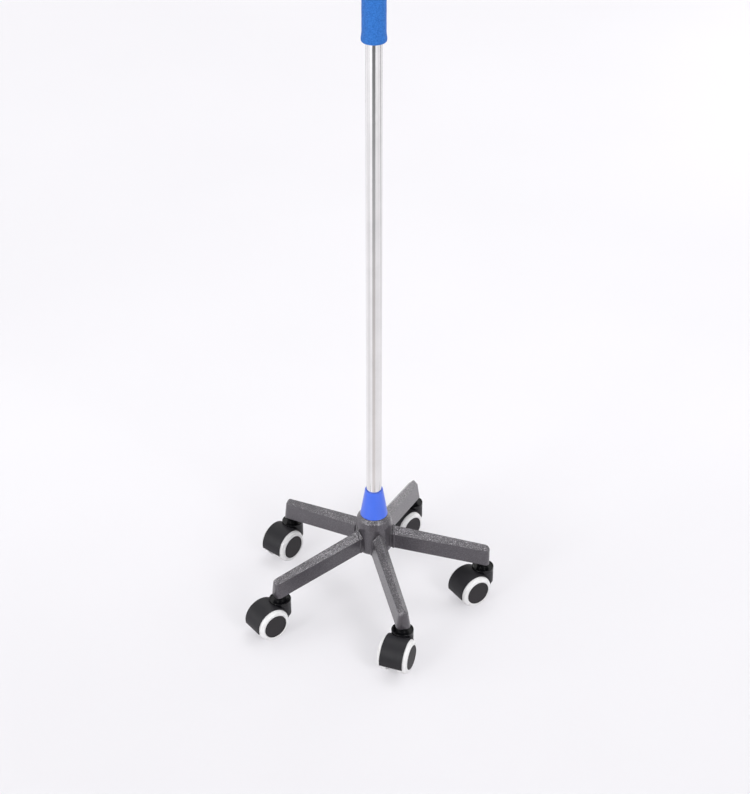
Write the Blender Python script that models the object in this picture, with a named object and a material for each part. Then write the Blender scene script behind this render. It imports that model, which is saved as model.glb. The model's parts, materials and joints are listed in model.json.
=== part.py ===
"""Five-legged infusion stand on twin-wheel casters, in metres, +Z up, standing on z = 0.

A steel column stands in the hub of a five-legged base. Each leg ends in a swivelling caster with
two wheels. A thinner rod with four bag hooks slides in the column, and a clamp knob holds it.
Every piece is its own object, 0.3 mm clear of its neighbours.
"""

import math

import bmesh
import bpy
from mathutils import Matrix, Vector

MM = 0.001
GAP = 0.3 * MM

# The column's axis, measured from the middle of the footprint, where the origin is
COLUMN_X = 5.3 * MM
COLUMN_Y = 24.2 * MM

# Base: five legs, counted counter-clockwise from the front one
LEG_COUNT = 5
FIRST_LEG_DEG = -75.5
STEM_CIRCLE = 188.0 * MM
LEG_END = 199.0 * MM
LEG_WALL = 3.0 * MM
NOSE_RADIUS = 7.5 * MM
HUB_FACETS = 40
HUB_BOTTOM = 98.0 * MM
HUB_TOP = 165.0 * MM
HUB_RADIUS = 29.7 * MM
HUB_FLOOR = 6.0 * MM

# Casters: the way each one trails behind its stem
TRAIL_DEG = (-111.0, -147.0, -134.0, -131.0, -144.0)
TRAIL = 27.0 * MM
WHEEL_RADIUS = 29.0 * MM
WHEEL_FACETS = 20
CAP_RADIUS = 20.9 * MM
CASTER_HALF_WIDTH = 27.0 * MM
WEB_HALF_WIDTH = 8.7 * MM
HOOD_HALF_WIDTH = 19.8 * MM
HOOD_RADIUS = 31.0 * MM
FENDER_ARC = (-13.0, 176.0)
LUG_RADIUS = 11.5 * MM
POCKET_RADIUS = 29.7 * MM
COLLAR_RADIUS = 18.6 * MM
COLLAR_BOTTOM = 55.0 * MM
COLLAR_TOP = 61.0 * MM
SOCKET_BOTTOM = 69.5 * MM
SOCKET_TOP = 90.0 * MM
SOCKET_RADIUS = 8.3 * MM
STEM_RADIUS = 5.5 * MM
STEM_BOTTOM = 37.3 * MM
AXLE_RADIUS = 3.0 * MM

# Column
TUBE_RADIUS = 12.7 * MM
TUBE_WALL = 1.2 * MM
TUBE_BOTTOM = HUB_BOTTOM + HUB_FLOOR + GAP
TUBE_TOP = 1166.0 * MM
COVER_TOP = 215.0 * MM
COVER_WALL = 1.7 * MM
GRIP_RADIUS = 19.0 * MM
GRIP_BOTTOM = 1021.0 * MM
BOLT_RADIUS = 5.0 * MM

# Height clamp
CLAMP_BOTTOM = 1140.0 * MM
CLAMP_TOP = 1200.0 * MM
CLAMP_RADIUS = 18.0 * MM
CLAMP_DEG = 0.0
SCREW_HEIGHT = 1184.0 * MM
SCREW_RADIUS = 4.0 * MM
PAD_LENGTH = 3.7 * MM

# Sliding rod and hooks
ROD_RADIUS = 9.5 * MM
ROD_WALL = 1.0 * MM
ROD_BOTTOM = 551.7 * MM
ROD_TOP = 1451.7 * MM
BOSS_RADIUS = 13.0 * MM
HOOK_COUNT = 4
HOOK_WIRE = 3.2 * MM
HOOK_HEIGHT = 1461.0 * MM
HOOK_ARM = 75.0 * MM
HOOK_BEND = 15.0 * MM

# Colour, roughness, metallic
FINISHES = {
    "leg_paint": ((0.085, 0.083, 0.088), 0.45, 0.3),
    "blue_plastic": ((0.055, 0.17, 0.85), 0.35, 0.0),
    "blue_foam": ((0.05, 0.19, 0.62), 0.85, 0.0),
    "black_nylon": ((0.028, 0.028, 0.031), 0.5, 0.0),
    "black_gloss": ((0.008, 0.008, 0.01), 0.25, 0.0),
    "white_tyre": ((0.8, 0.8, 0.8), 0.5, 0.0),
    "stainless": ((0.72, 0.7, 0.68), 0.18, 1.0),
    "zinc_steel": ((0.55, 0.55, 0.56), 0.35, 1.0),
    "natural_nylon": ((0.75, 0.73, 0.68), 0.5, 0.0),
}


def clear_scene():
    for old in list(bpy.data.objects):
        bpy.data.objects.remove(old)


def finish(name):
    """The named material, made on first use."""
    if name in bpy.data.materials:
        return bpy.data.materials[name]
    colour, roughness, metallic = FINISHES[name]
    material = bpy.data.materials.new(name)
    material.use_nodes = True
    shader = material.node_tree.nodes["Principled BSDF"]
    shader.inputs["Base Color"].default_value = (*colour, 1.0)
    shader.inputs["Roughness"].default_value = roughness
    shader.inputs["Metallic"].default_value = metallic
    material.diffuse_color = (*colour, 1.0)
    return material


def empty(name, location, turn_deg=0.0, parent=None):
    marker = bpy.data.objects.new(name, None)
    marker.location = location
    marker.rotation_euler = (0, 0, math.radians(turn_deg))
    marker.parent = parent
    bpy.context.scene.collection.objects.link(marker)
    return marker


def add_object(name, mesh, parent=None):
    thing = bpy.data.objects.new(name, mesh)
    thing.parent = parent
    bpy.context.scene.collection.objects.link(thing)
    return thing


def to_object(name, shape, material, parent=None):
    """Turns a bmesh into an object with outward faces, smooth where it is round."""
    bmesh.ops.recalc_face_normals(shape, faces=shape.faces)
    mesh = bpy.data.meshes.new(name)
    shape.to_mesh(mesh)
    shape.free()
    mesh.materials.append(finish(material))
    shade(mesh)
    return add_object(name, mesh, parent)


def shade(mesh):
    mesh.shade_smooth()
    mesh.set_sharp_from_angle(angle=math.radians(35))


def bridge(shape, ring, following):
    """Faces between two rings of as many points; a point that repeats closes its face to a triangle."""
    for index in range(len(ring)):
        after = (index + 1) % len(ring)
        corners = (ring[index], ring[after], following[after], following[index])
        corners = list(dict.fromkeys(corners))
        if len(corners) > 2:
            shape.faces.new(corners)


def lathe(name, outline, facets, material, parent=None):
    """Turns a closed outline of (radius, height) about Z, with a facet's middle on each main axis."""
    shape = bmesh.new()
    rings = []
    for radius, height in outline:
        if radius == 0.0:
            rings.append([shape.verts.new((0, 0, height))] * facets)
            continue
        angles = [math.tau * (index + 0.5) / facets for index in range(facets)]
        rings.append([
            shape.verts.new((radius * math.cos(angle), radius * math.sin(angle), height))
            for angle in angles
        ])
    for ring, following in zip(rings, rings[1:] + rings[:1]):
        bridge(shape, ring, following)
    return to_object(name, shape, material, parent)


def loft(name, loops, material, parent=None):
    """A solid through loops of as many points each, closed by a face at either end."""
    shape = bmesh.new()
    rings = [[shape.verts.new(point) for point in loop] for loop in loops]
    for ring, following in zip(rings, rings[1:]):
        bridge(shape, ring, following)
    shape.faces.new(rings[0])
    shape.faces.new(rings[-1])
    return to_object(name, shape, material, parent)


def rod_between(name, start, end, radius, facets, material="black_nylon"):
    """A plain round bar from one point to another."""
    axis = Vector(end) - Vector(start)
    turn = axis.to_track_quat("Z", "Y").to_matrix()
    circle = [
        turn @ Vector((radius * math.cos(angle), radius * math.sin(angle), 0))
        for angle in (math.tau * (index + 0.5) / facets for index in range(facets))
    ]
    loops = [[Vector(foot) + point for point in circle] for foot in (start, end)]
    return loft(name, loops, material)


def arc(centre, radius, first_deg, last_deg, steps):
    """Points on an arc, as (across, up) pairs."""
    angles = [math.radians(first_deg + (last_deg - first_deg) * k / steps) for k in range(steps + 1)]
    return [
        (centre[0] + radius * math.cos(angle), centre[1] + radius * math.sin(angle))
        for angle in angles
    ]


def combine(body, tool, operation):
    """Cuts the tool from the body, or joins it on, and removes the tool."""
    step = body.modifiers.new(operation.title(), "BOOLEAN")
    step.operation = operation
    step.object = tool
    graph = bpy.context.evaluated_depsgraph_get()
    plain = body.data
    body.data = bpy.data.meshes.new_from_object(body.evaluated_get(graph))
    body.modifiers.clear()
    bpy.data.meshes.remove(plain)
    bpy.data.objects.remove(tool)
    shade(body.data)


def copy_of(source, name, parent):
    twin = source.copy()
    twin.name = name
    twin.parent = parent
    bpy.context.scene.collection.objects.link(twin)
    return twin


# ---------------------------------------------------------------- base


def hub_outline(grow=0.0):
    """Outer side of the hub, bottom to top: a drum under a domed shoulder."""
    outer = [
        (26.5 * MM, HUB_BOTTOM),
        (28.6 * MM, HUB_BOTTOM + 5 * MM),
        (HUB_RADIUS, HUB_BOTTOM + 18 * MM),
        (HUB_RADIUS, HUB_TOP - 24 * MM),
        (29.0 * MM, HUB_TOP - 16 * MM),
        (27.2 * MM, HUB_TOP - 8 * MM),
        (24.4 * MM, HUB_TOP),
    ]
    return [(radius + grow, height) for radius, height in outer]


def make_hub(stand):
    bore = TUBE_RADIUS + GAP
    floor = HUB_BOTTOM + HUB_FLOOR
    inside = [
        (bore, HUB_TOP),
        (bore, floor),
        (BOLT_RADIUS + GAP, floor),
        (BOLT_RADIUS + GAP, HUB_BOTTOM),
    ]
    return lathe("base_hub", hub_outline() + inside, HUB_FACETS, "leg_paint", stand)


def leg_section(distance, inset=0.0):
    """House-shaped section of a leg: flared sides, two roof slopes and a ridge."""
    inner_end = 26.0 * MM
    along = (distance - inner_end) / (LEG_END - inner_end)
    foot = 16.5 * MM - 4.0 * MM * along - inset
    eave = 10.5 * MM - 2.3 * MM * along - inset
    low = 103.5 * MM - 34.5 * MM * along
    eave_height = 129.5 * MM - 33.0 * MM * along - 0.6 * inset
    ridge = 142.3 * MM - 37.8 * MM * along - 1.3 * inset
    if inset:
        low -= 1.0 * MM
    return [(-foot, low), (foot, low), (eave, eave_height), (0.0, ridge), (-eave, eave_height)]


def nose_section(distance):
    """Section of the leg's end, whose vertical corners are rounded in plan; the roof keeps its slope."""
    left_foot, right_foot, right_eave, ridge, left_eave = leg_section(distance)
    into = min(max(distance - (LEG_END - NOSE_RADIUS), 0.0), NOSE_RADIUS)
    lost = NOSE_RADIUS - math.sqrt(NOSE_RADIUS ** 2 - into ** 2)
    foot = right_foot[0] - lost
    eave = right_eave[0] - lost
    height = ridge[1] - (ridge[1] - right_eave[1]) * eave / right_eave[0]
    low = right_foot[1]
    return [(-foot, low), (foot, low), (eave, height), ridge, (-eave, height)]


def make_leg():
    """One hollow leg along +X, open below, with the socket for a caster's stem."""
    stations = [14.0 * MM] + [LEG_END - back * MM for back in (7.5, 4.5, 2.0, 0.6, 0.0)]
    loops = []
    for distance in stations:
        loops.append([(distance, across, up) for across, up in nose_section(distance)])
    leg = loft("leg_1", loops, "leg_paint")
    ends = (10.0 * MM, LEG_END - 11.6 * MM)
    hollow = loft("hollow", [
        [(distance, across, up) for across, up in leg_section(distance, LEG_WALL)]
        for distance in ends
    ], "leg_paint")
    combine(leg, hollow, "DIFFERENCE")
    socket = rod_between(
        "socket", (STEM_CIRCLE, 0, SOCKET_BOTTOM), (STEM_CIRCLE, 0, SOCKET_TOP + 2 * MM), SOCKET_RADIUS, 20)
    combine(leg, socket, "UNION")
    bore = rod_between(
        "bore", (STEM_CIRCLE, 0, SOCKET_BOTTOM - 10 * MM), (STEM_CIRCLE, 0, SOCKET_TOP),
        STEM_RADIUS + 0.4 * MM, 12)
    combine(leg, bore, "DIFFERENCE")
    clearance = lathe(
        "clearance", hub_outline(GAP) + [(0.0, HUB_TOP), (0.0, HUB_BOTTOM)], HUB_FACETS, "leg_paint")
    combine(leg, clearance, "DIFFERENCE")
    return leg


# ---------------------------------------------------------------- casters, trailing along +X


def axle_point(across=0.0):
    return (TRAIL, across, WHEEL_RADIUS)


def prism(name, outline, half_width):
    """Extrudes an outline in the X-Z plane to both sides."""
    loops = [[(x, side * half_width, z) for x, z in outline] for side in (-1, 1)]
    return loft(name, loops, "black_nylon")


def cut_pockets(body):
    """Room for the two wheels, one on each side of the web."""
    for side in (-1, 1):
        pocket = rod_between(
            "pocket", axle_point(side * WEB_HALF_WIDTH), axle_point(side * 30 * MM), POCKET_RADIUS, 40)
        combine(body, pocket, "DIFFERENCE")


def make_hood():
    """Fender over both wheels, central web with the axle lug, and the boss round the stem."""
    centre = (TRAIL, WHEEL_RADIUS)
    fender = arc(centre, HOOD_RADIUS, *FENDER_ARC, 14)
    lug = arc(centre, LUG_RADIUS, 215, 325, 4)
    hood = prism("caster_1_hood", fender + lug, HOOD_HALF_WIDTH)
    foot = fender[-1][1]
    boss = rod_between("boss", (0, 0, foot), (0, 0, COLLAR_BOTTOM - GAP), COLLAR_RADIUS - 0.2 * MM, 28)
    combine(hood, boss, "UNION")
    seat = rod_between("seat", (0, 0, COLLAR_BOTTOM - GAP), (0, 0, 80 * MM), COLLAR_RADIUS + GAP, 28)
    combine(hood, seat, "DIFFERENCE")
    cut_pockets(hood)
    stem_bore = rod_between(
        "bore", (0, 0, STEM_BOTTOM - GAP), (0, 0, 80 * MM), STEM_RADIUS + 0.4 * MM, 12)
    combine(hood, stem_bore, "DIFFERENCE")
    axle_bore = rod_between(
        "bore", axle_point(-30 * MM), axle_point(30 * MM), AXLE_RADIUS + GAP, 12)
    combine(hood, axle_bore, "DIFFERENCE")
    return hood


def make_stem():
    """Steel pin fixed in the leg; the caster turns on its lower half."""
    shoulder = 8.0 * MM
    outline = [
        (0.0, STEM_BOTTOM),
        (STEM_RADIUS, STEM_BOTTOM),
        (STEM_RADIUS, COLLAR_TOP + GAP),
        (shoulder, COLLAR_TOP + GAP),
        (shoulder, SOCKET_BOTTOM - GAP),
        (STEM_RADIUS, SOCKET_BOTTOM - GAP),
        (STEM_RADIUS, SOCKET_TOP - GAP),
        (0.0, SOCKET_TOP - GAP),
    ]
    return lathe("caster_1_stem", outline, 12, "zinc_steel")


def make_collar():
    """Collar let into the boss round the stem; its rear edge roofs the wheels."""
    bore = STEM_RADIUS + 0.8 * MM
    outline = [
        (bore, COLLAR_BOTTOM),
        (COLLAR_RADIUS, COLLAR_BOTTOM),
        (COLLAR_RADIUS, COLLAR_TOP - 1 * MM),
        (COLLAR_RADIUS - 1 * MM, COLLAR_TOP),
        (bore, COLLAR_TOP),
    ]
    collar = lathe("caster_1_collar", outline, 24, "black_gloss")
    cut_pockets(collar)
    return collar


def make_wheel_core():
    """Nylon wheel with its flat outer cap; +Z points away from the caster's middle."""
    bore = AXLE_RADIUS + 0.4 * MM
    bore_end = 23.2 * MM
    outline = [
        (bore, WEB_HALF_WIDTH + 0.6 * MM),
        (CAP_RADIUS, WEB_HALF_WIDTH + 0.6 * MM),
        (CAP_RADIUS, CASTER_HALF_WIDTH - 0.8 * MM),
        (CAP_RADIUS - 0.9 * MM, CASTER_HALF_WIDTH),
        (0.0, CASTER_HALF_WIDTH),
        (0.0, bore_end),
        (bore, bore_end),
    ]
    return lathe("caster_1_wheel_a", outline, WHEEL_FACETS, "black_nylon")


def make_tyre():
    """Tyre with a level tread and a rounded outer shoulder; its facets touch the rolling radius."""
    rolling = WHEEL_RADIUS / math.cos(math.pi / WHEEL_FACETS)
    seat = CAP_RADIUS + GAP
    inner = WEB_HALF_WIDTH + 0.9 * MM
    outline = [
        (seat, inner),
        (rolling, inner),
        (rolling, 20.4 * MM),
        (27.8 * MM, 23.8 * MM),
        (24.6 * MM, 26.0 * MM),
        (seat, 26.3 * MM),
    ]
    return lathe("caster_1_tyre_a", outline, WHEEL_FACETS, "white_tyre")


def place_caster(pieces, number, stand):
    """Puts one caster under its leg. The axle and the wheels turn about the swivel's Y axis."""
    azimuth = math.radians(FIRST_LEG_DEG + (number - 1) * 360.0 / LEG_COUNT)
    foot = (STEM_CIRCLE * math.cos(azimuth), STEM_CIRCLE * math.sin(azimuth), 0)
    name = f"caster_{number}"
    stem = copy_of(pieces["stem"], f"{name}_stem", stand)
    stem.location = foot
    swivel = empty(f"{name}_swivel", foot, TRAIL_DEG[number - 1], stand)
    copy_of(pieces["collar"], f"{name}_collar", swivel)
    copy_of(pieces["hood"], f"{name}_hood", swivel)
    axle = copy_of(pieces["axle"], f"{name}_axle", swivel)
    axle.location = axle_point()
    for side, turn_deg in (("a", -90), ("b", 90)):
        for piece in ("wheel", "tyre"):
            part = copy_of(pieces[piece], f"{name}_{piece}_{side}", swivel)
            part.location = axle_point()
            part.rotation_euler = (math.radians(turn_deg), 0, 0)


def make_casters(stand):
    axle_end = 22.8 * MM
    pieces = {
        "stem": make_stem(),
        "collar": make_collar(),
        "hood": make_hood(),
        "axle": rod_between("axle", (0, -axle_end, 0), (0, axle_end, 0), AXLE_RADIUS, 12, "zinc_steel"),
        "wheel": make_wheel_core(),
        "tyre": make_tyre(),
    }
    for piece, pattern in pieces.items():
        pattern.name = f"pattern_{piece}"
    for number in range(1, LEG_COUNT + 1):
        place_caster(pieces, number, stand)
    for pattern in pieces.values():
        bpy.data.objects.remove(pattern)


# ---------------------------------------------------------------- column


def make_tube(stand):
    """Outer tube; a threaded plug closes its foot."""
    inner = TUBE_RADIUS - TUBE_WALL
    plug_top = TUBE_BOTTOM + 20 * MM
    outline = [
        (BOLT_RADIUS + GAP, TUBE_BOTTOM),
        (TUBE_RADIUS, TUBE_BOTTOM),
        (TUBE_RADIUS, TUBE_TOP),
        (inner, TUBE_TOP),
        (inner, plug_top),
        (BOLT_RADIUS + GAP, plug_top),
    ]
    lathe("outer_tube", outline, 32, "stainless", stand)


def make_column_bolt(stand):
    """Hexagon bolt through the hub's floor into the tube's plug."""
    head_top = HUB_BOTTOM - GAP
    shank = [
        (0.0, head_top - 2 * MM),
        (BOLT_RADIUS, head_top - 2 * MM),
        (BOLT_RADIUS, TUBE_BOTTOM + 18 * MM),
        (0.0, TUBE_BOTTOM + 18 * MM),
    ]
    bolt = lathe("column_bolt", shank, 12, "zinc_steel", stand)
    head = rod_between("head", (0, 0, head_top - 7 * MM), (0, 0, head_top), 9.2 * MM, 6, "zinc_steel")
    head.parent = stand
    bpy.context.view_layer.update()
    combine(bolt, head, "UNION")


def make_cover(stand):
    """Conical cover from the hub's shoulder up the tube."""
    bottom = HUB_TOP + GAP
    foot_radius = 23.3 * MM
    top_radius = 14.5 * MM
    outline = [
        (foot_radius - COVER_WALL, bottom),
        (foot_radius, bottom),
        (top_radius, COVER_TOP),
        (TUBE_RADIUS + GAP, COVER_TOP),
        (TUBE_RADIUS + GAP, COVER_TOP - 3 * MM),
    ]
    lathe("hub_cover", outline, 32, "blue_plastic", stand)


def make_grip(stand):
    """Foam sleeve with a slightly flared, rounded lip at either end."""
    top = CLAMP_BOTTOM - 0.5 * MM
    lip = [
        (18.4 * MM, 0.3 * MM),
        (19.8 * MM, 3.0 * MM),
        (GRIP_RADIUS, 12.0 * MM),
    ]
    bore = TUBE_RADIUS + GAP
    lower = [(radius, GRIP_BOTTOM + rise) for radius, rise in lip]
    upper = [(radius, top - rise) for radius, rise in reversed(lip)]
    outline = [(bore, GRIP_BOTTOM)] + lower + upper + [(bore, top)]
    lathe("grip", outline, 28, "blue_foam", stand)


def make_clamp_collar(stand):
    """Collar on the tube's end: a wide bore below, the rod's bore above, and a boss for the screw."""
    wide = TUBE_RADIUS + GAP
    narrow = ROD_RADIUS + GAP
    step = TUBE_TOP + GAP
    outline = [
        (wide, CLAMP_BOTTOM),
        (CLAMP_RADIUS - 1 * MM, CLAMP_BOTTOM),
        (CLAMP_RADIUS, CLAMP_BOTTOM + 2 * MM),
        (CLAMP_RADIUS, CLAMP_TOP - 5 * MM),
        (CLAMP_RADIUS - 4 * MM, CLAMP_TOP),
        (narrow, CLAMP_TOP),
        (narrow, step),
        (wide, step),
    ]
    collar = lathe("clamp_collar", outline, 32, "blue_plastic")
    boss = rod_between(
        "boss", (14 * MM, 0, SCREW_HEIGHT), (31 * MM, 0, SCREW_HEIGHT), 9.5 * MM, 20)
    combine(collar, boss, "UNION")
    screw_bore = rod_between(
        "bore", (5 * MM, 0, SCREW_HEIGHT), (40 * MM, 0, SCREW_HEIGHT), SCREW_RADIUS + 0.4 * MM, 12)
    combine(collar, screw_bore, "DIFFERENCE")
    collar.data.materials.clear()
    collar.data.materials.append(finish("blue_plastic"))
    collar.rotation_euler = (0, 0, math.radians(CLAMP_DEG))
    collar.parent = stand


def make_clamp_screw(stand):
    """Pad that presses on the rod, and the lobed knob with its screw, both along the screw's axis."""
    screw = empty("clamp_screw_axis", (0, 0, SCREW_HEIGHT), CLAMP_DEG, stand)
    pad_start = ROD_RADIUS + GAP
    pad_end = pad_start + PAD_LENGTH
    pad = rod_between("clamp_pad", (pad_start, 0, 0), (pad_end, 0, 0), SCREW_RADIUS - 0.1 * MM, 12,
                      "natural_nylon")
    pad.parent = screw
    tip = pad_end + GAP
    lobes = 5
    points = 25
    # Place along the screw, mean radius, height of the lobes
    stations = [
        (tip, 3.2 * MM, 0.0),
        (tip + 1 * MM, SCREW_RADIUS, 0.0),
        (32 * MM, SCREW_RADIUS, 0.0),
        (32.3 * MM, 8.5 * MM, 0.0),
        (37 * MM, 9.0 * MM, 0.0),
        (38 * MM, 15.5 * MM, 1.8 * MM),
        (40 * MM, 17.2 * MM, 2.3 * MM),
        (46 * MM, 17.2 * MM, 2.3 * MM),
        (48.5 * MM, 15.2 * MM, 1.8 * MM),
        (49.3 * MM, 11.5 * MM, 1.0 * MM),
    ]
    loops = []
    for place, mean, height in stations:
        loop = []
        for index in range(points):
            angle = math.tau * index / points
            radius = mean + height * math.cos(lobes * angle)
            loop.append((place, radius * math.cos(angle), radius * math.sin(angle)))
        loops.append(loop)
    loft("clamp_knob", loops, "black_nylon", screw)


# ---------------------------------------------------------------- sliding rod


def make_rod(slide):
    inner = ROD_RADIUS - ROD_WALL
    outline = [
        (ROD_RADIUS, ROD_BOTTOM),
        (ROD_RADIUS, ROD_TOP),
        (inner, ROD_TOP),
        (inner, ROD_BOTTOM),
    ]
    lathe("sliding_rod", outline, 24, "stainless", slide)


def make_rod_guide(slide):
    """Nylon guide plugged into the rod's foot; it runs in the outer tube."""
    spigot = ROD_RADIUS - ROD_WALL - GAP
    guide = TUBE_RADIUS - TUBE_WALL - GAP
    step = ROD_BOTTOM - GAP
    outline = [
        (0.0, step - 14 * MM),
        (guide - 1 * MM, step - 14 * MM),
        (guide, step - 12 * MM),
        (guide, step),
        (spigot, step),
        (spigot, step + 16 * MM),
        (0.0, step + 16 * MM),
    ]
    lathe("rod_guide", outline, 24, "natural_nylon", slide)


def make_hook_boss(slide):
    """Boss plugged into the rod's head, with a domed top."""
    spigot = ROD_RADIUS - ROD_WALL - GAP
    step = ROD_TOP + GAP
    outline = [
        (0.0, step - 16 * MM),
        (spigot, step - 16 * MM),
        (spigot, step),
        (BOSS_RADIUS, step),
        (BOSS_RADIUS, step + 17 * MM),
        (BOSS_RADIUS - 3 * MM, step + 20.5 * MM),
        (6.5 * MM, step + 22 * MM),
        (0.0, step + 22 * MM),
    ]
    lathe("hook_boss", outline, 24, "stainless", slide)


def hook_path():
    """Centre line of a hook as (outward, up, wire radius): an arm, an upward bend and a ball end."""
    slope = -6.0
    start = BOSS_RADIUS + GAP
    arm_end = (start + HOOK_ARM * math.cos(math.radians(slope)), HOOK_ARM * math.sin(math.radians(slope)))
    centre = (
        arm_end[0] - HOOK_BEND * math.sin(math.radians(slope)),
        arm_end[1] + HOOK_BEND * math.cos(math.radians(slope)),
    )
    heading = 105.0
    bend = arc(centre, HOOK_BEND, slope - 90, heading - 90, 8)
    path = [(start, 0.0, HOOK_WIRE)] + [(out, up, HOOK_WIRE) for out, up in bend]
    step_out = math.cos(math.radians(heading))
    step_up = math.sin(math.radians(heading))
    ball = [(8.0, 3.2), (10.0, 4.4), (12.5, 4.8), (15.0, 4.2), (16.6, 2.4)]
    for ahead, radius in ball:
        out = bend[-1][0] + ahead * MM * step_out
        up = bend[-1][1] + ahead * MM * step_up
        path.append((out, up, radius * MM))
    return path


def make_hooks(slide):
    path = hook_path()
    sides = 8
    loops = []
    for index, (out, up, radius) in enumerate(path):
        before = path[max(index - 1, 0)]
        after = path[min(index + 1, len(path) - 1)]
        along = Vector((after[0] - before[0], 0, after[1] - before[1])).normalized()
        if index == 0:
            along = Vector((1, 0, 0))
        upward = along.cross(Vector((0, -1, 0)))
        loop = []
        for side in range(sides):
            angle = math.tau * (side + 0.5) / sides
            ring = Vector((0, 1, 0)) * math.cos(angle) + upward * math.sin(angle)
            loop.append(Vector((out, 0, up)) + ring * radius)
        loops.append(loop)
    pattern = loft("hook_pattern", loops, "stainless")
    for number in range(1, HOOK_COUNT + 1):
        hook = copy_of(pattern, f"hook_{number}", slide)
        hook.location = (0, 0, HOOK_HEIGHT)
        hook.rotation_euler = (0, 0, math.tau * (number - 1) / HOOK_COUNT)
    bpy.data.objects.remove(pattern)


def main():
    clear_scene()
    stand = empty("column_axis", (COLUMN_X, COLUMN_Y, 0))
    make_hub(stand)
    leg = make_leg()
    leg.name = "leg_pattern"
    for number in range(1, LEG_COUNT + 1):
        copy = copy_of(leg, f"leg_{number}", stand)
        copy.rotation_euler = (0, 0, math.radians(FIRST_LEG_DEG + (number - 1) * 360.0 / LEG_COUNT))
    bpy.data.objects.remove(leg)
    make_casters(stand)
    make_tube(stand)
    make_column_bolt(stand)
    make_cover(stand)
    make_grip(stand)
    make_clamp_collar(stand)
    make_clamp_screw(stand)
    slide = empty("rod_axis", (0, 0, 0), 0.0, stand)
    make_rod(slide)
    make_rod_guide(slide)
    make_hook_boss(slide)
    make_hooks(slide)


main()
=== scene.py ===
"""Looks of a wheeled infusion stand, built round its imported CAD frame. Lengths are in metres."""

import json
import math

import bmesh
import bpy
from mathutils import Matrix, Vector


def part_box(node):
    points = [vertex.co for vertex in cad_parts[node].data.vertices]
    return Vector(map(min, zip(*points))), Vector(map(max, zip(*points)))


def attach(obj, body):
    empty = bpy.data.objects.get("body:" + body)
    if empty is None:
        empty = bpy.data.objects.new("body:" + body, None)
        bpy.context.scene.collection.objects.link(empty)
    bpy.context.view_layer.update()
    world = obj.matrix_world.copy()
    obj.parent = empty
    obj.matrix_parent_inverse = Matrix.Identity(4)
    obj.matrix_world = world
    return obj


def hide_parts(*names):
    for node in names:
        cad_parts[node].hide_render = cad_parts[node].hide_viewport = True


MM = 0.001

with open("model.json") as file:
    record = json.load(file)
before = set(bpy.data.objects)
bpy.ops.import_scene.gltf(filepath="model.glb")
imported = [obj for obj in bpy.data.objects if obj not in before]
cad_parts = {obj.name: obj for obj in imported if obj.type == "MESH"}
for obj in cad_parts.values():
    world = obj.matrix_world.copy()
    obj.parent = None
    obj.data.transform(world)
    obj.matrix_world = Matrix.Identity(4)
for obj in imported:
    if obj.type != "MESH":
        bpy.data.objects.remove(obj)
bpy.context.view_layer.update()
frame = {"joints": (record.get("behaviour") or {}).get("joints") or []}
joints = {joint["name"]: joint for joint in frame["joints"]}


def middle(node):
    low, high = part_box(node)
    return (low + high) / 2


COLUMN = Vector((middle("outer_tube").x, middle("outer_tube").y, 0))


# ---------------------------------------------------------------- materials


def node(tree, kind, settings=None, **links):
    """A shader node with its settings and socket values, its inputs linked by name."""
    made = tree.nodes.new(kind)
    for key, value in (settings or {}).items():
        if isinstance(key, int) or key in made.inputs:
            made.inputs[key].default_value = value
        else:
            setattr(made, key, value)
    for key, source in links.items():
        tree.links.new(source, made.inputs[key.replace("_", " ")])
    return made


def ramp(tree, source, stops):
    """A colour ramp over (place, colour) stops; a colour is a grey value or three numbers."""
    made = node(tree, "ShaderNodeValToRGB", Fac=source)
    elements = made.color_ramp.elements
    while len(elements) < len(stops):
        elements.new(1.0)
    for element, (place, colour) in zip(elements, stops):
        element.position = place
        colour = (colour, colour, colour) if isinstance(colour, float) else colour
        element.color = (*colour, 1.0)
    return made.outputs["Color"]


def noise(tree, coords, scale, detail=3.0, roughness=0.55):
    settings = {"Scale": scale, "Detail": detail, "Roughness": roughness}
    return node(tree, "ShaderNodeTexNoise", settings, Vector=coords).outputs["Fac"]


def stretched(tree, coords, factors):
    return node(tree, "ShaderNodeMapping", {"Scale": factors}, Vector=coords).outputs["Vector"]


def bump(tree, shader, height, strength, distance):
    made = node(tree, "ShaderNodeBump", {"Strength": strength, "Distance": distance}, Height=height)
    tree.links.new(made.outputs["Normal"], shader.inputs["Normal"])


def surface(name, **values):
    """A material with its Principled shader: (material, tree, shader, object coordinates)."""
    material = bpy.data.materials.new(name)
    material.use_nodes = True
    tree = material.node_tree
    shader = tree.nodes["Principled BSDF"]
    for key, value in values.items():
        shader.inputs[key.replace("_", " ")].default_value = value
    coords = node(tree, "ShaderNodeTexCoord").outputs["Object"]
    return material, tree, shader, coords


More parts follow.
